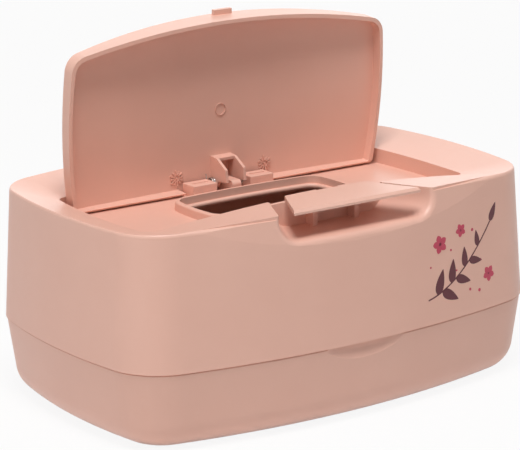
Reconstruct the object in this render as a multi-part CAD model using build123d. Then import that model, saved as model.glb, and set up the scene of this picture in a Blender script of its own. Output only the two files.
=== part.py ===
from build123d import *
import os
from math import atan2, cos, degrees, pi, radians, sin

# Baby wipes box: a tub, a lift-off cover with a sunken tray, a sprung lid and a push button.
# Millimetres. The origin is on the table under the middle of the footprint.
# X runs along the length, -Y is the front and +Z is up.

# Whole box
length = 240.0
depth = 162.8
seam_z = 38.5
deck_z = 102.0
front_bulge = 15.0
side_bulge = 7.5
corner_radius = 29.0

# Tub
tub_wall = 2.6
tub_step = 0.5
tub_draft = 4.5
tub_foot_radius = 15.0
tub_rim_chamfer = 0.7
spigot_height = 7.0
spigot_root = 6.0
spigot_wall = 1.8
spigot_gap = 0.4
hollow_width = 44.0
hollow_depth = 2.0
hollow_tube_radius = 26.0

# Cover
cover_wall = 2.2
cover_draft = 3.5
cover_edge_radius = 1.6
edge_steps = 3
facet_low_z = 87.0
facet_lean = 0.158
facet_radius = 484.0
ridge_crown = 2.0
rim_spare = 0.3
crown_steps = 8
dish = 6.5
front_crown = 8.6
back_crown = 2.5

# Tray sunk into the deck
tray_depth = 13.9
tray_floor = 2.2
tray_front_room = 31.5
tray_back_room = 6.9
tray_half = 91.4
tray_front_bow = 10.0
tray_side_bow = 2.6
tray_front_radius = 9.0
tray_back_radius = 4.0

# Dispensing slot and its collar
collar_front_room = 25.4
collar_back_room = 6.6
collar_half = 42.5
collar_bow = 2.0
collar_corner = 9.0
collar_wall = 2.2
collar_height = 4.4
collar_round = 0.9
lip_reach = 1.6
lip_rise = 0.7
lip_thick = 2.4
lip_round = 1.1

# Scoop and button bay in the front lip
bay_half = 44.6
bay_taper = 0.47
bay_depth = 11.2
bay_corner = 10.0
bay_rim_round = 3.0
bay_skin = 2.0
bay_wall_gap = 0.4
tab_notch_half = 6.2
tab_notch_z = -3.2

# Hinge line, behind the slot
hinge_room = 47.1
hinge_height = 4.1
hinge_back = 3.8
swing_gap = 0.3

# Lid, drawn shut and then swung open
lid_gap = 1.5
lid_back_half = 88.0
lid_side_bow = 2.7
lid_front_radius = 9.0
lid_back_radius = 2.5
lid_skin = 2.0
lid_rim = 1.8
lid_lift = 0.5
lid_edge_round = 1.5
lid_open = 85.0
hinge_notch_half = 25.0
tab_width = 10.3
tab_reach = 2.5
tab_height = 2.0
tab_top_drop = 2.8

# Hinge pin, its two caps and the centre knuckle
pin_radius = 1.0
pin_half = 22.8
bore_gap = 0.06
cap_inner = 9.9
cap_outer = 23.6
cap_height = 6.1
cap_front = 7.6
cap_back = 2.0
cap_round = 0.6
cap_groove_width = 1.1
cap_groove_depth = 0.6
cap_groove_end = 2.4
peg_radius = 1.3
peg_inset = 3.5
block_half = 2.6
block_radius = 2.0
block_front = 8.4

# Lid bracket: two arms that turn on the pin, and a roof plate between them
arm_inner = 4.5
arm_thick = 1.5
arm_back = 2.6
toe_reach = 8.4
toe_drop = 8.5
heel_reach = 2.2
heel_drop = 9.6
arm_waist = 3.0
roof_reach = 12.2
roof_thick = 1.4
roof_drop = 0.5
slot_gap = 0.5
slot_front = 12.1
slot_back = 4.4

# Lid springs, one coil beside each arm
lid_wire = 0.7
lid_coil_radius = 2.5
lid_coil_pitch = 1.15
lid_coil_turns = 2
lid_coil_gap = 0.4
lid_leg_up = 4.2
lid_leg_front = 2.4

# Push button
button_front_half = 36.0
button_taper = 0.5
button_gap = 0.3
button_proud = 1.3
button_thick = 2.0
button_front_room = 6.4
button_front_z = 2.9
button_nose = 2.3
button_nose_round = 1.2
button_nose_foot = 1.6
tab_room = 0.3

# Button pivot
pivot_room = 25.4
pivot_z = -1.3
pivot_radius = 1.0
pivot_half = 13.4
lug_inner = 8.0
lug_thick = 2.2
lug_radius = 2.2
ear_gap = 0.4
ear_thick = 2.6
ear_radius = 1.8
button_wire = 0.5
button_coil_radius = 1.7
button_coil_pitch = 0.95
button_coil_turns = 4
button_leg = 2.2
button_leg_gap = 0.05

# Reach of a cut that goes right through
through = 20.0

# Points along a coil, and the share of a turn between two of them, that its gap is measured on
gap_samples = 240
gap_turn_share = 0.75

# Places worked out from the sizes above
tray_front_y = tray_front_room - depth / 2
hinge_y = depth / 2 - hinge_room
button_front_y = button_front_room - depth / 2
pivot_y = pivot_room - depth / 2
tray_z = deck_z - tray_depth
tray_back_y = hinge_y + tray_back_room
hinge_z = tray_z + hinge_height
lid_rim_z = tray_z + lid_lift
lid_front_y = tray_front_y + lid_gap
lid_back_y = hinge_y + hinge_back
collar_front_y = tray_front_y + collar_front_room
collar_back_y = hinge_y - cap_front - collar_back_room
bay_floor_z = deck_z - bay_depth
pivot_height = deck_z + pivot_z
peg_y = hinge_y + (cap_back - cap_front) / 2
ridge_z = deck_z + ridge_crown
facet_low_inset = cover_draft * (facet_low_z - seam_z) / (deck_z - seam_z)
ridge_y = facet_lean * (ridge_z - facet_low_z) + facet_low_inset - depth / 2


def bow(start, middle, end):
    """Arc through three points, or a line where they are in line."""
    a, m, b = Vector(start), Vector(middle), Vector(end)
    if (m - a).cross(b - m).length < 1e-6:
        return Edge.make_line(a, b)
    return Edge.make_three_point_arc(a, m, b)


def plan(front_y, back_y, front_half, back_half, front_bow, back_bow, side_bow, front_radius, back_radius):
    """Four-sided outline with bowed sides and rounded corners, as a face at height 0."""
    corners = [
        (-front_half, front_y + front_bow),
        (front_half, front_y + front_bow),
        (back_half, back_y - back_bow),
        (-back_half, back_y - back_bow),
    ]
    side_x = (front_half + back_half) / 2 + side_bow
    side_y = (corners[0][1] + corners[2][1]) / 2
    middles = [(0, front_y), (side_x, side_y), (0, back_y), (-side_x, side_y)]
    edges = [bow(corners[i], middles[i], corners[(i + 1) % 4]) for i in range(4)]
    face = Face(Wire(edges))
    face = face.fillet_2d(front_radius, face.vertices().sort_by(Axis.Y)[:2])
    return face.fillet_2d(back_radius, face.vertices().sort_by(Axis.Y)[-2:])


def footprint(inset):
    """Outline of the box, drawn in by inset."""
    half = length / 2 - side_bulge - inset
    edge_y = depth / 2 - inset
    radius = corner_radius - inset
    return plan(-edge_y, edge_y, half, half, front_bulge, front_bulge, side_bulge, radius, radius)


def frustum(low_z, low_inset, high_z, high_inset):
    """Solid between two outlines of the box."""
    sections = [Pos(0, 0, low_z) * footprint(low_inset), Pos(0, 0, high_z) * footprint(high_inset)]
    return loft(sections, ruled=True)


def cover_inset(z):
    """How far the cover's outside is drawn in at a height."""
    return cover_draft * (z - seam_z) / (deck_z - seam_z)


def prism(face, low_z, high_z):
    """Upright solid on an outline."""
    return extrude(Pos(0, 0, low_z) * face, amount=high_z - low_z)


def slab_x(points, low_x, high_x):
    """Solid with an outline given in Y and Z, run along X."""
    wire = Wire.make_polygon([Vector(low_x, y, z) for y, z in points], close=True)
    return extrude(Face(wire), amount=high_x - low_x, dir=(1, 0, 0))


def rod_x(y, z, radius, low_x, high_x):
    """Round rod along X."""
    return Pos((low_x + high_x) / 2, y, z) * Rot(0, 90, 0) * Cylinder(radius, high_x - low_x)


def crown_z(x, y):
    """Height of the crowned top, shared by the deck's inner edge and the shut lid."""
    along = (tray_back_y - y) / (tray_back_y - tray_front_y)
    rise = back_crown + (front_crown - back_crown) * along
    half = tray_half + tray_side_bow
    return deck_z - dish + rise * (1 - (x / half) ** 2)


def tray_plan(grow):
    """Outline of the sunken tray, let out by grow."""
    half = tray_half + grow
    return plan(tray_front_y - grow, tray_back_y + grow, half, half, tray_front_bow, 0, tray_side_bow,
                tray_front_radius + grow, tray_back_radius + grow)


def outline_edges(face):
    """Edges of an outline, anticlockwise, starting with the front one."""
    spans = []
    for edge in face.outer_wire().edges():
        start, middle, end = edge @ 0, edge @ 0.5, edge @ 1
        if start.X * end.Y < start.Y * end.X:
            start, end = end, start
        spans.append((start, middle, end))
    spans.sort(key=lambda span: (degrees(atan2(span[1].Y, span[1].X)) + 120) % 360)
    return [bow(*span) for span in spans]


def deck_ring(bottom, grow, drop):
    """Solid ring under the dished deck, from the tray's wall out past the walls."""
    faces = []
    deck = footprint(cover_inset(bottom) - rim_spare)
    lift = Pos(0, 0, deck_z - drop)
    for inner, outer in zip(outline_edges(tray_plan(grow)), outline_edges(deck)):
        spots = [inner @ (i / crown_steps) for i in range(crown_steps + 1)]
        crown = Edge.make_spline([Vector(p.X, p.Y, crown_z(p.X, p.Y) - drop) for p in spots])
        rim = lift * outer
        middle = rim @ 0.5
        if middle.Y < 0 and abs(middle.X) < 1:
            rim = bow(rim @ 0, middle + Vector(0, 0, ridge_crown), rim @ 1)
        inner_foot = Pos(0, 0, bottom) * inner
        outer_foot = Pos(0, 0, bottom) * outer
        faces.append(Face.make_surface_from_curves(crown, rim))
        faces.append(Face.make_surface_from_curves(inner_foot, crown))
        faces.append(Face.make_surface_from_curves(outer_foot, rim))
    floor = Pos(0, 0, bottom) * deck
    hole = Pos(0, 0, bottom) * tray_plan(grow)
    faces.append(Face(floor.outer_wire(), [hole.outer_wire()]))
    return Solid(Shell(faces))


def above_deck(low_z, grow, drop):
    """Everything over the deck and the tray floor, with the deck lowered by drop."""
    block = Box(2 * length, 2 * depth, 2 * through)
    return Pos(0, 0, low_z + through) * block - deck_ring(low_z - 1, grow, drop)


def facet_cut(setback):
    """Everything in front of the slightly bowed, leaning front facet, set back by a wall."""
    half = length / 2 + corner_radius
    sag = facet_radius - (facet_radius ** 2 - half ** 2) ** 0.5
    sections = []
    for z in (seam_z, deck_z + through):
        front_y = ridge_y + facet_lean * (z - ridge_z) + setback
        ends = [Vector(-half, front_y + sag, z), Vector(0, front_y, z), Vector(half, front_y + sag, z)]
        arc = Edge.make_three_point_arc(*ends)
        far_y = front_y - depth
        corners = [ends[2], Vector(half, far_y, z), Vector(-half, far_y, z), ends[0]]
        sides = Wire.make_polygon(corners, close=False)
        sections.append(Face(Wire([arc] + sides.edges())))
    return loft(sections, ruled=True)


def make_tub():
    """Lower tub with a standing rim that the cover drops over."""
    low_inset = tub_step + tub_draft
    shoulder_z = seam_z - tub_rim_chamfer
    outside = frustum(0, low_inset, shoulder_z, tub_step)
    outside = fillet(outside.faces().sort_by(Axis.Z)[0].edges(), tub_foot_radius)
    outside += frustum(shoulder_z, tub_step, seam_z, tub_step + tub_rim_chamfer)
    inside = frustum(tub_wall, low_inset + tub_wall, seam_z, tub_step + tub_wall)
    inside = fillet(inside.faces().sort_by(Axis.Z)[0].edges(), tub_foot_radius - tub_wall)
    tub = outside - inside
    rim_inset = cover_wall + spigot_gap
    rim_low = seam_z - spigot_root
    rim_high = seam_z + spigot_height
    rim = prism(footprint(rim_inset), rim_low, rim_high)
    rim -= prism(footprint(rim_inset + spigot_wall), rim_low - 1, rim_high + 1)
    tub += rim
    return tub - finger_hollow()


def finger_hollow():
    """Shallow hollow under the seam, where a thumb lifts the cover."""
    reach = hollow_width / 2
    front_radius = (length / 2) ** 2 / (2 * front_bulge)
    ring_radius = 1 / (2 * (hollow_depth / reach ** 2 - 1 / (2 * front_radius)))
    tube_y = -depth / 2 + tub_step + hollow_depth - hollow_tube_radius
    ring = Pos(0, tube_y - ring_radius, seam_z) * Torus(ring_radius, hollow_tube_radius)
    return ring & Pos(0, -depth / 2, seam_z / 2) * Box(length, depth, seam_z)


def bay_side(y):
    """Half width of the button bay at a place across the box."""
    return bay_half - bay_taper * (y - ridge_y)


def bay(grow):
    """Space for the button and the fingers, cut through the front lip and the facet."""
    near_y = tray_front_y + bay_corner
    far_y = ridge_y - depth
    corners = [
        (-bay_side(far_y) - grow, far_y),
        (bay_side(far_y) + grow, far_y),
        (bay_side(near_y) + grow, near_y),
        (-bay_side(near_y) - grow, near_y),
    ]
    outline = Wire.make_polygon([Vector(x, y) for x, y in corners])
    space = prism(Face(outline), bay_floor_z - grow, deck_z + through)
    floor_edges = space.edges().group_by(Axis.Z)[0]
    return fillet(floor_edges.filter_by(lambda edge: abs((edge @ 0.5).X) > bay_half / 2), bay_corner + grow)


def tray_front(x):
    """Front edge of the tray at a place along the box."""
    radius = (tray_half ** 2 + tray_front_bow ** 2) / (2 * tray_front_bow)
    return tray_front_y + radius - (radius ** 2 - x ** 2) ** 0.5


def above_crown(y, half, rise):
    """Face in a plane across the box, above the crown line lifted by rise."""
    top_z = deck_z + 3 * front_crown
    ends = [Vector(x, y, crown_z(x, y) + rise) for x in (-half, 0, half)]
    arc = Edge.make_three_point_arc(*ends)
    corners = [ends[2], Vector(half, y, top_z), Vector(-half, y, top_z), ends[0]]
    sides = Wire.make_polygon(corners, close=False)
    return Face(Wire([arc] + sides.edges()))


def over_crown(half, rise):
    """Solid above the crowned top, for trimming what stands under it."""
    front = above_crown(tray_front_y - lid_front_radius, half, rise)
    back = above_crown(tray_back_y + lid_front_radius, half, rise)
    return loft([front, back], ruled=True)


def cover_shell(low_z, wall):
    """Walls of the cover as a full solid with a rounded shoulder, drawn in by a wall."""
    places = [(low_z, cover_inset(low_z))]
    for step in range(edge_steps + 1):
        angle = pi / 2 * step / edge_steps
        z = deck_z - cover_edge_radius * (1 - sin(angle))
        places.append((z, cover_inset(z) + cover_edge_radius * (1 - cos(angle))))
    places.append((ridge_z + ridge_crown, places[-1][1]))
    return loft([Pos(0, 0, z) * footprint(inset + wall) for z, inset in places], ruled=True)


def front_block():
    """Block behind the front facet, with the rounded mouth of the button bay."""
    height = deck_z + through / 2 - seam_z
    block = Pos(0, 0, seam_z + height / 2) * Box(length, 2 * depth, height)
    block -= facet_cut(0)
    block -= bay(0) - prism(tray_plan(cover_wall), 0, 2 * deck_z)
    mouth = block.edges().filter_by(lambda edge: in_mouth_of_bay(edge @ 0.5))
    return fillet(mouth, bay_rim_round)


def in_mouth_of_bay(spot):
    """Whether a place lies on the edge where the bay opens through the facet."""
    beside = abs(spot.X) < bay_half + bay_rim_round and bay_floor_z - 1 < spot.Z < deck_z + through / 4
    return beside and spot.Y < ridge_y + bay_rim_round


def make_cover():
    """Cover with the dished deck, the sunken tray, the slot and the button bay."""
    solid = front_block() & cover_shell(seam_z, 0)
    solid -= above_deck(tray_z, 0, 0)
    hollow = cover_shell(seam_z - 1, cover_wall) - facet_cut(cover_wall)
    hollow -= above_deck(tray_z - tray_floor, cover_wall, cover_wall)
    hollow -= bay(bay_skin)
    cover = solid - hollow
    cover -= bay_wall_trim()
    cover = add_collar(cover)
    cover = add_hinge_seat(cover)
    return add_ears(cover)


def bay_wall_trim():
    """Lowers the tray wall behind the button and opens it for the lid's tab."""
    half = bay_side(tray_front_y)
    drop = button_thick - button_proud + bay_wall_gap + button_slope(0) * cover_wall
    face = Pos(0, -bay_corner, 0) * above_crown(tray_front_y, half, -drop)
    trim = extrude(face, amount=2 * bay_corner, dir=(0, 1, 0))
    notch_high = deck_z + 2 * front_crown
    notch_low = deck_z + tab_notch_z
    notch = Box(2 * tab_notch_half, 2 * bay_corner, notch_high - notch_low)
    return trim + Pos(0, tray_front_y, (notch_high + notch_low) / 2) * notch


def collar_plan(inset):
    """Outline of the collar round the slot."""
    half = collar_half - inset
    return plan(collar_front_y + inset, collar_back_y - inset, half, half, collar_bow, collar_bow,
                collar_bow, collar_corner - inset, collar_corner - inset)


def add_collar(cover):
    """Standing collar, throat and rolled lip of the dispensing slot."""
    top_z = tray_z + collar_height
    ring = prism(collar_plan(0), tray_z - tray_floor, top_z)
    ring = fillet(ring.faces().sort_by(Axis.Z)[-1].edges(), collar_round)
    cover += ring
    cover -= prism(collar_plan(collar_wall), tray_z - 3 * tray_floor, top_z + 1)
    lip_top = tray_z + lip_rise
    lip = prism(collar_plan(collar_wall - tray_floor / 4), lip_top - lip_thick, lip_top)
    mouth = prism(collar_plan(collar_wall + lip_reach), lip_top - 2 * lip_thick, lip_top + 1)
    lip -= mouth
    inner_edges = lip.edges().filter_by(lambda edge: in_mouth(edge))
    lip = fillet(inner_edges, lip_round)
    return cover + lip


def in_mouth(edge):
    """Whether an edge of the rolled lip runs round its mouth."""
    rim = collar_plan(collar_wall + lip_reach).outer_wire()
    spot = edge @ 0.5
    flat = Vector(spot.X, spot.Y)
    level = abs((edge @ 0).Z - (edge @ 1).Z) < 1e-6
    return level and rim.distance_to(Vertex(flat.X, flat.Y, 0)) < 1e-3


def add_hinge_seat(cover):
    """Centre knuckle, arm slots and peg holes behind the slot."""
    front_y = hinge_y - block_front
    knuckle = rod_x(hinge_y, hinge_z, block_radius, -block_half, block_half)
    knuckle += rod_x(front_y, hinge_z, block_radius, -block_half, block_half)
    knuckle += Pos(0, (hinge_y + front_y) / 2, hinge_z) * Box(2 * block_half, block_front, 2 * block_radius)
    foot = Box(2 * block_half, block_front + 2 * block_radius, hinge_height)
    cover += knuckle + Pos(0, (hinge_y + front_y) / 2, tray_z + hinge_height / 2) * foot
    cover -= rod_x(hinge_y, hinge_z, pin_radius + bore_gap, -length, length) & Box(
        4 * block_half, 2 * length, 2 * length)
    slot_width = arm_thick + 2 * slot_gap
    slot = Box(slot_width, slot_front + slot_back, 4 * tray_floor)
    slot_y = hinge_y + (slot_back - slot_front) / 2
    for side in (-1, 1):
        cover -= Pos(side * (arm_inner + arm_thick / 2), slot_y, tray_z) * slot
        for x in (cap_inner + peg_inset, cap_outer - peg_inset):
            cover -= Pos(side * x, peg_y, tray_z) * Cylinder(peg_radius + bore_gap, 4 * tray_floor)
    return cover


def add_ears(cover):
    """Two ears that carry the button's pivot rod, standing in the bay."""
    low = lug_inner + lug_thick + ear_gap
    points = [
        (pivot_y - ear_radius, bay_floor_z - bay_skin / 2),
        (pivot_y - ear_radius, pivot_height),
        (pivot_y + ear_radius, pivot_height),
        (tray_front_y - cover_wall, pivot_height - ear_radius),
        (tray_front_y - cover_wall / 2, bay_floor_z - bay_skin / 2),
    ]
    for start in (low, -low - ear_thick):
        ear = slab_x(points, start, start + ear_thick)
        ear += rod_x(pivot_y, pivot_height, ear_radius, start, start + ear_thick)
        cover += ear
    bore = rod_x(pivot_y, pivot_height, pivot_radius + bore_gap, -pivot_half - 1, pivot_half + 1)
    return cover - bore


def lid_plan(inset):
    """Outline of the lid."""
    return plan(lid_front_y + inset, lid_back_y - inset, tray_half - lid_gap - inset, lid_back_half - inset,
                tray_front_bow, 0, lid_side_bow, lid_front_radius - inset, lid_back_radius - inset)


def make_lid():
    """Lid with its skirt, latch tab and hinge bracket, swung open to its rest."""
    high_z = deck_z + 2 * front_crown
    outside = prism(lid_plan(0), lid_rim_z, high_z) - over_crown(length, 0)
    outside = fillet(outside.faces().sort_by(Axis.Z)[-1].edges(), lid_edge_round)
    inside = prism(lid_plan(lid_rim), lid_rim_z - 1, high_z) - over_crown(length, -lid_skin)
    lid = outside - inside
    quarter = Box(2 * length, 2 * hinge_height, 2 * hinge_height)
    quarter = Pos(0, hinge_y + hinge_height, hinge_z - hinge_height) * quarter
    lid -= quarter - rod_x(hinge_y, hinge_z, hinge_height - swing_gap, -length, length)
    notch_top = crown_z(hinge_notch_half, lid_back_y) - lid_skin
    notch = Box(2 * hinge_notch_half, 4 * lid_rim, notch_top - lid_rim_z + 2)
    lid -= Pos(0, lid_back_y, (notch_top + lid_rim_z - 2) / 2) * notch
    tab_top = crown_z(0, lid_front_y) - tab_top_drop
    tab = Box(tab_width, 2 * tab_reach, tab_height)
    lid += Pos(0, lid_front_y, tab_top - tab_height / 2) * tab
    lid += make_bracket()
    for start in (arm_inner - 1, -arm_inner - arm_thick - 1):
        lid -= rod_x(hinge_y, hinge_z, pin_radius + bore_gap, start, start + arm_thick + 2)
    return swing(lid, -lid_open)


def swing(shape, angle):
    """Turns a shape about the hinge pin."""
    return shape.rotate(Axis((0, hinge_y, hinge_z), (1, 0, 0)), angle)


def make_bracket():
    """Arms and roof plate under the lid, drawn shut."""
    high = 3 * lid_skin + hinge_height
    profile = [
        (-roof_reach, -roof_drop),
        (-toe_reach, -toe_drop),
        (-heel_reach, -heel_drop),
        (-heel_reach + 1, -arm_waist),
        (arm_back * sin(radians(45)), -arm_back * sin(radians(45))),
        (arm_back, 0),
        (arm_back, high),
        (-roof_reach, high),
    ]
    points = [(hinge_y + y, hinge_z + z) for y, z in profile]
    outer = arm_inner + arm_thick
    arms = slab_x(points, arm_inner, outer) + slab_x(points, -outer, -arm_inner)
    roof = Box(2 * outer, roof_thick, high + roof_drop)
    roof = Pos(0, hinge_y - roof_reach + roof_thick / 2, hinge_z + (high - roof_drop) / 2) * roof
    return arms + roof - over_crown(length, -lid_skin / 2)


def make_cap(side):
    """Housing that holds one end of the hinge pin."""
    size_y = cap_front + cap_back
    cap = Box(cap_outer - cap_inner, size_y, cap_height)
    cap = fillet(cap.faces().sort_by(Axis.Z)[-1].edges(), cap_round)
    mid_x = (cap_inner + cap_outer) / 2
    groove = Box(cap_outer - cap_inner - 2 * cap_groove_end, cap_groove_width, 2 * cap_groove_depth)
    cap -= Pos(0, 0, cap_height / 2) * groove
    cap = Pos(side * mid_x, hinge_y + (cap_back - cap_front) / 2, tray_z + cap_height / 2) * cap
    for x in (cap_inner + peg_inset, cap_outer - peg_inset):
        cap += Pos(side * x, peg_y, tray_z - tray_floor / 2) * Cylinder(peg_radius, tray_floor)
    return cap - rod_x(hinge_y, hinge_z, pin_radius + bore_gap, -pin_half - bore_gap, pin_half + bore_gap)


def biarc(start, start_dir, end, end_dir):
    """Two arcs that meet smoothly and join two points with given directions."""
    chord = end - start
    both = start_dir + end_dir
    square = 2 * (1 - start_dir.dot(end_dir))
    reach = chord.dot(both)
    d = (-reach + (reach ** 2 + square * chord.dot(chord)) ** 0.5) / square
    joint = (start + start_dir * d + end - end_dir * d) * 0.5
    first = Edge.make_tangent_arc(start, start_dir, joint)
    second = Edge.make_tangent_arc(end, end_dir * -1, joint)
    return [first, Edge.make_three_point_arc(second @ 1, second @ 0.5, second @ 0)]


def coil_path(centre, radius, pitch, turns, legs):
    """Spring centre line round an X axis: a leg, whole turns drawn as biarcs, and a leg."""
    points = []
    slope = pitch / (2 * pi * radius)
    for step in range(turns * 4 + legs[2] + 1):
        angle = pi / 2 * step + legs[3]
        place = centre + Vector(pitch * step / 4, radius * cos(angle), radius * sin(angle))
        heading = Vector(slope, -sin(angle), cos(angle)).normalized()
        points.append((place, heading))
    edges = [Edge.make_line(points[0][0] - points[0][1] * legs[0], points[0][0])]
    for (a, a_dir), (b, b_dir) in zip(points, points[1:]):
        edges += biarc(a, a_dir, b, b_dir)
    edges.append(Edge.make_line(points[-1][0], points[-1][0] + points[-1][1] * legs[1]))
    return Wire(edges)


def coil(path, wire):
    """Round wire swept along a spring's centre line."""
    start = Plane(origin=path @ 0, z_dir=path % 0)
    return sweep(start * Circle(wire / 2), path=path)


def coil_gap(path, pitch, radius, wire):
    """Least gap between neighbouring turns, measured on points along the centre line."""
    spots = [path.position_at(i / gap_samples) for i in range(gap_samples + 1)]
    apart = 2 * pi * radius * gap_turn_share
    stride = int(apart / path.length * gap_samples) + 1
    least = min((a - b).length for i, a in enumerate(spots) for b in spots[i + stride:])
    return least - wire


def make_lid_spring(side):
    """Torsion coil beside one arm of the lid, with a leg up the lid and a leg forward."""
    start_x = arm_inner + arm_thick + lid_coil_gap + lid_wire / 2
    legs = (lid_leg_front, lid_leg_up, 1, -pi / 2)
    centre = Vector(start_x, hinge_y, hinge_z)
    path = coil_path(centre, lid_coil_radius, lid_coil_pitch, lid_coil_turns, legs)
    print("lid spring gap", round(coil_gap(path, lid_coil_pitch, lid_coil_radius, lid_wire), 3))
    spring = coil(path, lid_wire)
    return spring if side > 0 else spring.mirror(Plane.YZ)


def make_button_spring():
    """Torsion coil round the pivot rod, with a leg to the wall and a leg under the button."""
    centre = Vector(-button_coil_pitch * button_coil_turns / 2, pivot_y, pivot_height)
    wall_leg = tray_front_y - cover_wall - pivot_y - button_leg_gap
    legs = (wall_leg, button_leg, 0, pi / 2)
    path = coil_path(centre, button_coil_radius, button_coil_pitch, button_coil_turns, legs)
    print("button spring gap", round(coil_gap(path, button_coil_pitch, button_coil_radius, button_wire), 3))
    return coil(path, button_wire)


def button_back(x):
    """Place and height of the button plate's rear edge."""
    back_y = tray_front(x) - button_gap
    return back_y, crown_z(x, back_y) + button_proud


def button_slope(x):
    """Rise of the button plate towards its rear edge."""
    back_y, back_z = button_back(x)
    return (back_z - deck_z - button_front_z) / (back_y - button_front_y - button_nose_round)


def button_section(x):
    """Outline of the button plate across the box, at a place along it."""
    back_y, back_z = button_back(x)
    front_z = deck_z + button_front_z
    low_z = front_z - button_nose
    points = [
        (back_y, back_z - button_thick),
        (back_y, back_z),
        (button_front_y + button_nose_round, front_z),
        (button_front_y, front_z - button_nose_round),
        (button_front_y, low_z),
        (button_front_y + button_nose_foot, low_z),
        (button_front_y + button_thick, front_z - button_thick),
    ]
    return Face(Wire.make_polygon([Vector(x, y, z) for y, z in points]))


def make_button():
    """Button plate with its nose, its pivot lugs and the notch for the lid's tab."""
    reach = button_front_half + 2
    plate = loft([button_section(reach * i / 3) for i in range(-3, 4)])
    back_half = button_front_half + button_taper * button_front_y
    outline = [
        (-button_front_half - button_taper * depth, button_front_y - depth),
        (button_front_half + button_taper * depth, button_front_y - depth),
        (back_half, 0),
        (-back_half, 0),
    ]
    plate &= prism(Face(Wire.make_polygon([Vector(x, y) for x, y in outline])), 0, 2 * deck_z)
    notch_y = lid_front_y - tab_reach - tab_room
    plate -= Pos(0, notch_y + bay_corner, deck_z) * Box(2 * tab_notch_half, 2 * bay_corner, deck_z)
    back_y, back_z = button_back(lug_inner)
    slope = button_slope(lug_inner)
    under = back_z - button_thick / 2 - slope * (back_y - pivot_y)
    points = [
        (pivot_y - lug_radius, pivot_height),
        (pivot_y - lug_radius, under - slope * lug_radius),
        (pivot_y + lug_radius, under + slope * lug_radius),
        (pivot_y + lug_radius, pivot_height),
    ]
    for start in (lug_inner, -lug_inner - lug_thick):
        plate += slab_x(points, start, start + lug_thick)
        plate += rod_x(pivot_y, pivot_height, lug_radius, start, start + lug_thick)
    return plate - rod_x(pivot_y, pivot_height, pivot_radius + bore_gap, -pivot_half, pivot_half)


if __name__ == "__main__":
    os.makedirs("parts", exist_ok=True)
    nodes = {
        "tub": make_tub(),
        "cover": make_cover(),
        "lid": make_lid(),
        "hinge_cap_left": make_cap(-1),
        "hinge_cap_right": make_cap(1),
        "hinge_pin": rod_x(hinge_y, hinge_z, pin_radius, -pin_half, pin_half),
        "lid_spring_left": make_lid_spring(-1),
        "lid_spring_right": make_lid_spring(1),
        "push_button": make_button(),
        "button_pivot_rod": rod_x(pivot_y, pivot_height, pivot_radius, -pivot_half, pivot_half),
        "button_spring": make_button_spring(),
    }
    for name, solid in nodes.items():
        print(name, solid.is_valid, round(solid.volume), len(solid.solids()))
        export_step(solid, f"parts/{name}.step")
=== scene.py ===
import math
import random

import bmesh
import bpy
from mathutils import Matrix, Vector
from mathutils.bvhtree import BVHTree


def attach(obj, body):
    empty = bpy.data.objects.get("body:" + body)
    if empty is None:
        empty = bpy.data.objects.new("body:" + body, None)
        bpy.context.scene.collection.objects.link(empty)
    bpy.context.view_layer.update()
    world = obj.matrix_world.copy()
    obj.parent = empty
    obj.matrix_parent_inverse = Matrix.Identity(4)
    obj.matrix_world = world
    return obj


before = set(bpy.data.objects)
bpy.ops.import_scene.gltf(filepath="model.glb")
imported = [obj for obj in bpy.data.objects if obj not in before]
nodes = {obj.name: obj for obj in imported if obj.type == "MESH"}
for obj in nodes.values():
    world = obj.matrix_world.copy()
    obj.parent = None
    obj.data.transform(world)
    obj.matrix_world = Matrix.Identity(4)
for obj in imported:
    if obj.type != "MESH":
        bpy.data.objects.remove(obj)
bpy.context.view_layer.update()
rng = random.Random(11)
MM = 0.001

# Where rays towards the box start, and how far thin pieces stand over the surface or reach into it
FRONT_Y = -300 * MM
PRINT_LIFT = 0.06 * MM
MARK_LIFT = 0.6 * MM
PRINT_SINK = 0.05 * MM

# Mould marks inside the lid, in millimetres
MARK_X = 26.1
MARK_Z = 96.6
MARK_RIBS = 12
MARK_INNER = 1.5
MARK_OUTER = 3.6
MARK_WIDTH = 0.6
GATE_Z = 127.7
GATE_RADIUS = 2.9
GATE_STEPS = 40

# Camera, in metres and degrees
CAMERA_TARGET = (-0.00313, 0, 0.07724)
CAMERA_DISTANCE = 1.17623
CAMERA_AZIMUTH = -34.53
CAMERA_ELEVATION = 14.91
CAMERA_ROLL = -0.72
CAMERA_LENS = 168.66

# Floor, in metres, with the share of plain white that the camera sees in it
FLOOR_TONE = (232, 230, 229)
FLOOR_WHITE = 0.9
FLOOR_HALF = 5.0
FLOOR_FRONT_Y = -3.0
FLOOR_BACK_Y = 2.4
FLOOR_CURVE = 0.9
FLOOR_CURVE_STEP = 0.26
FLOOR_TOP = 4.0

# Lamps: name, place in metres, watts and size in metres, all aimed at the middle of the box
LAMP_TARGET = (0, 0, 0.08)
LAMPS = (
    ("overhead_lamp", (-0.32, -0.5, 1.65), 22, (0.6, 0.6)),
    ("back_lamp", (0.9, 1.3, 0.6), 9, (2.4, 1.1)),
    ("left_lamp", (-1.6, -0.2, 0.6), 4, (1.2, 1.2)),
)
WORLD_STRENGTH = 0.19


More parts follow.
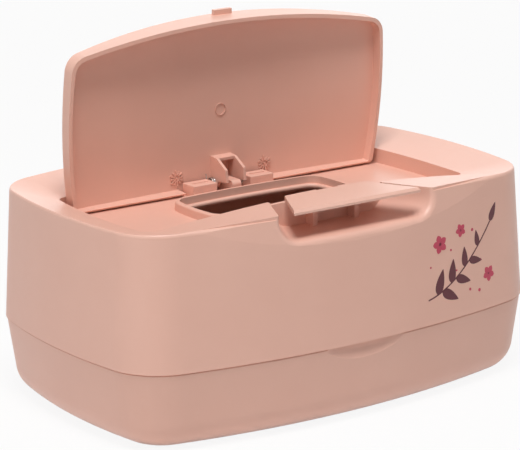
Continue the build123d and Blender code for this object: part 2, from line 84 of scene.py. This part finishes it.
class Num:
    """A shader value that takes part in Python arithmetic."""

    def __init__(self, tree, socket):
        self.tree = tree
        self.socket = socket

    def math(self, operation, *others):
        node = self.tree.nodes.new("ShaderNodeMath")
        node.operation = operation
        for slot, value in zip(node.inputs, (self, *others)):
            if isinstance(value, Num):
                self.tree.links.new(value.socket, slot)
            else:
                slot.default_value = value
        return Num(self.tree, node.outputs[0])

    def __add__(self, other):
        return self.math("ADD", other)

    def __sub__(self, other):
        return self.math("SUBTRACT", other)

    def __mul__(self, other):
        return self.math("MULTIPLY", other)

    def __rsub__(self, other):
        return (self * -1) + other

    __radd__ = __add__
    __rmul__ = __mul__

    def clip(self, low, high):
        return self.math("MAXIMUM", low).math("MINIMUM", high)


class Graph:
    """A node tree with one method that adds any node."""

    def __init__(self, tree):
        self.tree = tree

    def node(self, kind, settings=None, out=0, **sockets):
        """Adds a node: its settings, then the values or links of sockets given by name or as _number."""
        node = self.tree.nodes.new(kind)
        for label, value in (settings or {}).items():
            setattr(node, label, value)
        for label, value in sockets.items():
            slot = node.inputs[int(label[1:]) if label[0] == "_" else label.replace("_", " ")]
            if isinstance(value, Num):
                self.tree.links.new(value.socket, slot)
            else:
                slot.default_value = value
        return Num(self.tree, node.outputs[out])

    def show_white(self, kind, shaded, output, share=1.0):
        """Camera and glossy rays see a share of plain white, and other light the shaded surface."""
        white = self.node(kind, Color=(1, 1, 1, 1), Strength=1.0)
        camera_ray = self.node("ShaderNodeLightPath", out=0)
        glossy_ray = self.node("ShaderNodeLightPath", out=3)
        seen = camera_ray.math("MAXIMUM", glossy_ray) * share
        mix = self.node("ShaderNodeMixShader", _0=seen, _1=Num(self.tree, shaded), _2=white)
        self.tree.links.new(mix.socket, self.tree.nodes[output].inputs["Surface"])


class Finish(Graph):
    """A procedural material."""

    def __init__(self, name, colour, roughness, **settings):
        self.material = bpy.data.materials.new(name)
        self.material.use_nodes = True
        super().__init__(self.material.node_tree)
        self.shader = self.tree.nodes["Principled BSDF"]
        self.shader.inputs["Base Color"].default_value = (*colour, 1)
        self.shader.inputs["Roughness"].default_value = roughness
        for label, value in settings.items():
            self.shader.inputs[label.replace("_", " ")].default_value = value

    def noise(self, scale, detail):
        """Soft noise in object coordinates."""
        place = self.node("ShaderNodeTexCoord", out=3)
        return self.node("ShaderNodeTexNoise", Vector=place, Scale=scale, Detail=detail)

    def blend(self, factor, first, second):
        """Mixes two colours by a value that varies over the surface."""
        colours = {"_6": (*first, 1), "_7": (*second, 1)}
        return self.node("ShaderNodeMix", {"data_type": "RGBA"}, 2, _0=factor, **colours)

    def feed(self, label, value):
        self.tree.links.new(value.socket, self.shader.inputs[label])

    def bump(self, height, distance, strength):
        dent = self.node("ShaderNodeBump", Height=height, Distance=distance, Strength=strength)
        self.feed("Normal", dent)


def srgb(*values):
    """Colour given as 0 to 255 screen values, as linear light."""
    return tuple((v / 255 / 12.92) if v <= 10 else ((v / 255 + 0.055) / 1.055) ** 2.4 for v in values)


def make_moulded_plastic():
    """Soft salmon plastic with a fine moulded grain."""
    finish = Finish("moulded_pink_plastic", srgb(232, 183, 165), 0.42, Specular_IOR_Level=0.6)
    tone = (finish.noise(38, 2) - 0.5) * 1.6 + 0.5
    finish.feed("Base Color", finish.blend(tone.clip(0, 1), srgb(231, 182, 164), srgb(234, 186, 168)))
    finish.feed("Roughness", (finish.noise(260, 3) - 0.5) * 0.12 + 0.42)
    finish.bump(finish.noise(5200, 2), 0.02 * MM, 0.5)
    return finish.material


def make_steel():
    """Bright drawn steel wire."""
    finish = Finish("bright_steel", srgb(205, 204, 202), 0.26, Metallic=1.0)
    finish.feed("Roughness", (finish.noise(2400, 2) - 0.5) * 0.2 + 0.28)
    return finish.material


def make_ink(name, colour):
    """Printed ink, a little glossier than the plastic."""
    finish = Finish(name, colour, 0.34)
    finish.feed("Roughness", (finish.noise(900, 2) - 0.5) * 0.1 + 0.34)
    return finish.material


plastic = make_moulded_plastic()
steel = make_steel()
dark_ink = make_ink("maroon_ink", srgb(92, 22, 36))
rose_ink = make_ink("rose_ink", srgb(196, 62, 88))

STEEL_NODES = ("hinge_pin", "lid_spring_left", "lid_spring_right", "button_pivot_rod", "button_spring")
for name, node in nodes.items():
    node.data.materials.clear()
    node.data.materials.append(steel if name in STEEL_NODES else plastic)


def surface_of(node):
    """Search tree of a node's surface, for laying thin pieces on it."""
    mesh = bmesh.new()
    mesh.from_mesh(node.data)
    bmesh.ops.remove_doubles(mesh, verts=mesh.verts, dist=1e-6)
    tree = BVHTree.FromBMesh(mesh)
    mesh.free()
    return tree


class Relief:
    """Thin closed pieces laid on a surface that is seen from the front, drawn in X and Z."""

    def __init__(self, name, node, body, material, lift, slot=None):
        self.name = name
        self.tree = surface_of(node)
        self.body = body
        self.material = material
        self.slot = slot
        self.lift = lift
        self.mesh = bmesh.new()

    def spot(self, x, z, height):
        """Place at a height over the surface."""
        place, normal, _, _ = self.tree.ray_cast(Vector((x * MM, FRONT_Y, z * MM)), Vector((0, 1, 0)))
        return place + normal * height

    def strip(self, rows):
        """Adds a closed plate from rows of places, each row running across the strip."""
        tops = [[self.mesh.verts.new(self.spot(x, z, self.lift)) for x, z in row] for row in rows]
        feet = [[self.mesh.verts.new(self.spot(x, z, -PRINT_SINK)) for x, z in row] for row in rows]
        quads = []
        for i in range(len(rows) - 1):
            for j in range(len(rows[0]) - 1):
                quads.append((tops[i][j], tops[i][j + 1], tops[i + 1][j + 1], tops[i + 1][j]))
                quads.append((feet[i][j], feet[i + 1][j], feet[i + 1][j + 1], feet[i][j + 1]))
        edge = [(i, 0) for i in range(len(rows))]
        edge += [(len(rows) - 1, j) for j in range(1, len(rows[0]))]
        edge += [(i, len(rows[0]) - 1) for i in range(len(rows) - 2, -1, -1)]
        edge += [(0, j) for j in range(len(rows[0]) - 2, 0, -1)]
        for (i, j), (k, m) in zip(edge, edge[1:] + edge[:1]):
            quads.append((tops[i][j], tops[k][m], feet[k][m], feet[i][j]))
        for quad in quads:
            self.mesh.faces.new(quad)

    def leaf(self, x, z, angle, length, width, steps=10, tip=1.6):
        """Adds a pointed or round leaf that grows from a place in a direction."""
        rows = []
        for i in range(steps + 1):
            t = min(max(i / steps, 0.012), 0.988)
            half = width / 2 * math.sin(math.pi * t ** (1 / tip)) ** 0.8
            c, s = math.cos(angle), math.sin(angle)
            cx, cz = x + length * t * c, z + length * t * s
            rows.append([(cx - side * half * s, cz + side * half * c) for side in (-1, 0, 1)])
        self.strip(rows)

    def disc(self, x, z, radius, steps=12):
        """Adds a round dot."""
        rows = []
        for i in range(steps + 1):
            a = math.pi * min(max(i / steps, 0.04), 0.96)
            rows.append([(x - radius * math.cos(a), z + s * radius * math.sin(a)) for s in (-1, 0, 1)])
        self.strip(rows)

    def line(self, points, width):
        """Adds a narrow band along a path."""
        rows = []
        for i, (x, z) in enumerate(points):
            before = points[max(i - 1, 0)]
            after = points[min(i + 1, len(points) - 1)]
            run = Vector((after[0] - before[0], after[1] - before[1])).normalized() * width / 2
            rows.append([(x + run.y, z - run.x), (x, z), (x - run.y, z + run.x)])
        self.strip(rows)

    def finish(self):
        """Makes the object and hands it to its body."""
        bmesh.ops.recalc_face_normals(self.mesh, faces=self.mesh.faces)
        data = bpy.data.meshes.new(self.name)
        self.mesh.to_mesh(data)
        self.mesh.free()
        piece = bpy.data.objects.new(self.name, data)
        bpy.context.scene.collection.objects.link(piece)
        data.materials.append(self.material)
        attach(piece, self.body)


def make_print():
    """Printed sprig with blossoms and dots on the right of the front wall."""
    dark = Relief("print_sprig", nodes["cover"], "cover", dark_ink, PRINT_LIFT)
    rose = Relief("print_blossoms", nodes["cover"], "cover", rose_ink, PRINT_LIFT)
    stem = [(38 + 3.1 * i, 50.5 + 0.55 * i + 0.115 * i * i) for i in range(15)]
    dark.line(stem, 0.7)
    for k, (i, side) in enumerate(((2, 1), (3, -1), (5, 1), (6, -1), (8, 1), (9, -1), (11, 1))):
        x, z = stem[i]
        slope = math.atan2(stem[i + 1][1] - z, stem[i + 1][0] - x)
        size = 12.5 - 0.7 * k + rng.uniform(-0.4, 0.4)
        dark.leaf(x, z, slope + side * math.radians(52), size, size * 0.42)
    dark.leaf(*stem[-1], math.radians(62), 9.5, 3.8)
    for x, z, radius in ((46.5, 76, 4.6), (60.5, 80.2, 3.4), (79.5, 55.5, 4.0)):
        turn = rng.uniform(0, 1.2)
        for petal in range(5):
            rose.leaf(x, z, turn + petal * math.tau / 5, radius, radius * 0.72, 8, 0.8)
        dark.disc(x, z, radius * 0.16)
    for x, z in ((40, 66), (53.5, 72), (57, 61.5), (68.5, 79), (66, 50.5), (74, 63.5), (72.5, 48.8)):
        rose.disc(x, z, rng.uniform(0.5, 0.85))
    dark.finish()
    rose.finish()


def make_lid_marks():
    """Mould marks inside the lid: two rings of fine radial ribs and the ring of the gate."""
    marks = Relief("lid_mould_marks", nodes["lid"], "lid", plastic, MARK_LIFT, "pink_plastic")
    for middle in (-MARK_X, MARK_X):
        for i in range(MARK_RIBS):
            angle = math.tau * i / MARK_RIBS + 0.13
            c, s = math.cos(angle), math.sin(angle)
            outer = MARK_OUTER + 0.5 * (i % 2)
            reach = (MARK_INNER, (MARK_INNER + outer) / 2, outer)
            marks.line([(middle + r * c, MARK_Z + r * s) for r in reach], MARK_WIDTH)
        marks.disc(middle, MARK_Z, 0.55)
    turns = [math.tau * i / GATE_STEPS for i in range(GATE_STEPS)]
    ring = [(GATE_RADIUS * math.cos(a), GATE_Z + GATE_RADIUS * math.sin(a)) for a in turns]
    marks.line(ring, 0.3)
    marks.finish()


def make_camera():
    """Camera at the photograph's angle."""
    data = bpy.data.cameras.new("camera")
    data.sensor_width = 36.0
    data.lens = CAMERA_LENS
    data.clip_start = 0.05
    data.clip_end = 30
    camera = bpy.data.objects.new("camera", data)
    bpy.context.scene.collection.objects.link(camera)
    azimuth, elevation, roll = map(math.radians, (CAMERA_AZIMUTH, CAMERA_ELEVATION, CAMERA_ROLL))
    level = math.cos(elevation)
    back = Vector((math.sin(azimuth) * level, -math.cos(azimuth) * level, math.sin(elevation)))
    turn = (-back).to_track_quat("-Z", "Y").to_matrix().to_4x4() @ Matrix.Rotation(roll, 4, "Z")
    camera.matrix_world = Matrix.Translation(Vector(CAMERA_TARGET) + back * CAMERA_DISTANCE) @ turn
    bpy.context.scene.camera = camera


def make_floor():
    """Pale floor that curves up into a backdrop."""
    curve = [FLOOR_CURVE_STEP * i for i in range(1, 7)]
    rows = [(FLOOR_FRONT_Y, 0.0), (FLOOR_BACK_Y, 0.0)]
    rows += [(FLOOR_BACK_Y + FLOOR_CURVE * math.sin(a), FLOOR_CURVE * (1 - math.cos(a))) for a in curve]
    rows += [(FLOOR_BACK_Y + FLOOR_CURVE, FLOOR_TOP)]
    verts = [(x, y, z) for y, z in rows for x in (-FLOOR_HALF, FLOOR_HALF)]
    faces = [(2 * i, 2 * i + 1, 2 * i + 3, 2 * i + 2) for i in range(len(rows) - 1)]
    mesh = bpy.data.meshes.new("floor")
    mesh.from_pydata(verts, [], faces)
    for face in mesh.polygons:
        face.use_smooth = True
    floor = bpy.data.objects.new("floor", mesh)
    bpy.context.scene.collection.objects.link(floor)
    finish = Finish("floor_white", srgb(*FLOOR_TONE), 0.9, Specular_IOR_Level=0.1)
    finish.show_white("ShaderNodeEmission", finish.shader.outputs[0], "Material Output", FLOOR_WHITE)
    floor.data.materials.append(finish.material)


def make_lamp(name, place, power, size):
    """Soft lamp aimed at the box."""
    data = bpy.data.lights.new(name, "AREA")
    data.shape = "RECTANGLE"
    data.size, data.size_y = size
    data.energy = power
    lamp = bpy.data.objects.new(name, data)
    bpy.context.scene.collection.objects.link(lamp)
    aim = (Vector(LAMP_TARGET) - Vector(place)).to_track_quat("-Z", "Y").to_matrix().to_4x4()
    lamp.matrix_world = Matrix.Translation(Vector(place)) @ aim


def make_light():
    """Plain studio light: a soft lamp overhead, weaker ones behind and at the left, and a pale world."""
    for lamp in LAMPS:
        make_lamp(*lamp)
    world = bpy.data.worlds.new("studio")
    bpy.context.scene.world = world
    world.use_nodes = True
    sky = world.node_tree.nodes["Background"]
    sky.inputs["Color"].default_value = (1, 1, 1, 1)
    sky.inputs["Strength"].default_value = WORLD_STRENGTH
    Graph(world.node_tree).show_white("ShaderNodeBackground", sky.outputs[0], "World Output")


make_print()
make_lid_marks()
make_camera()
make_floor()
make_light()
bpy.context.scene.view_settings.view_transform = "Standard"
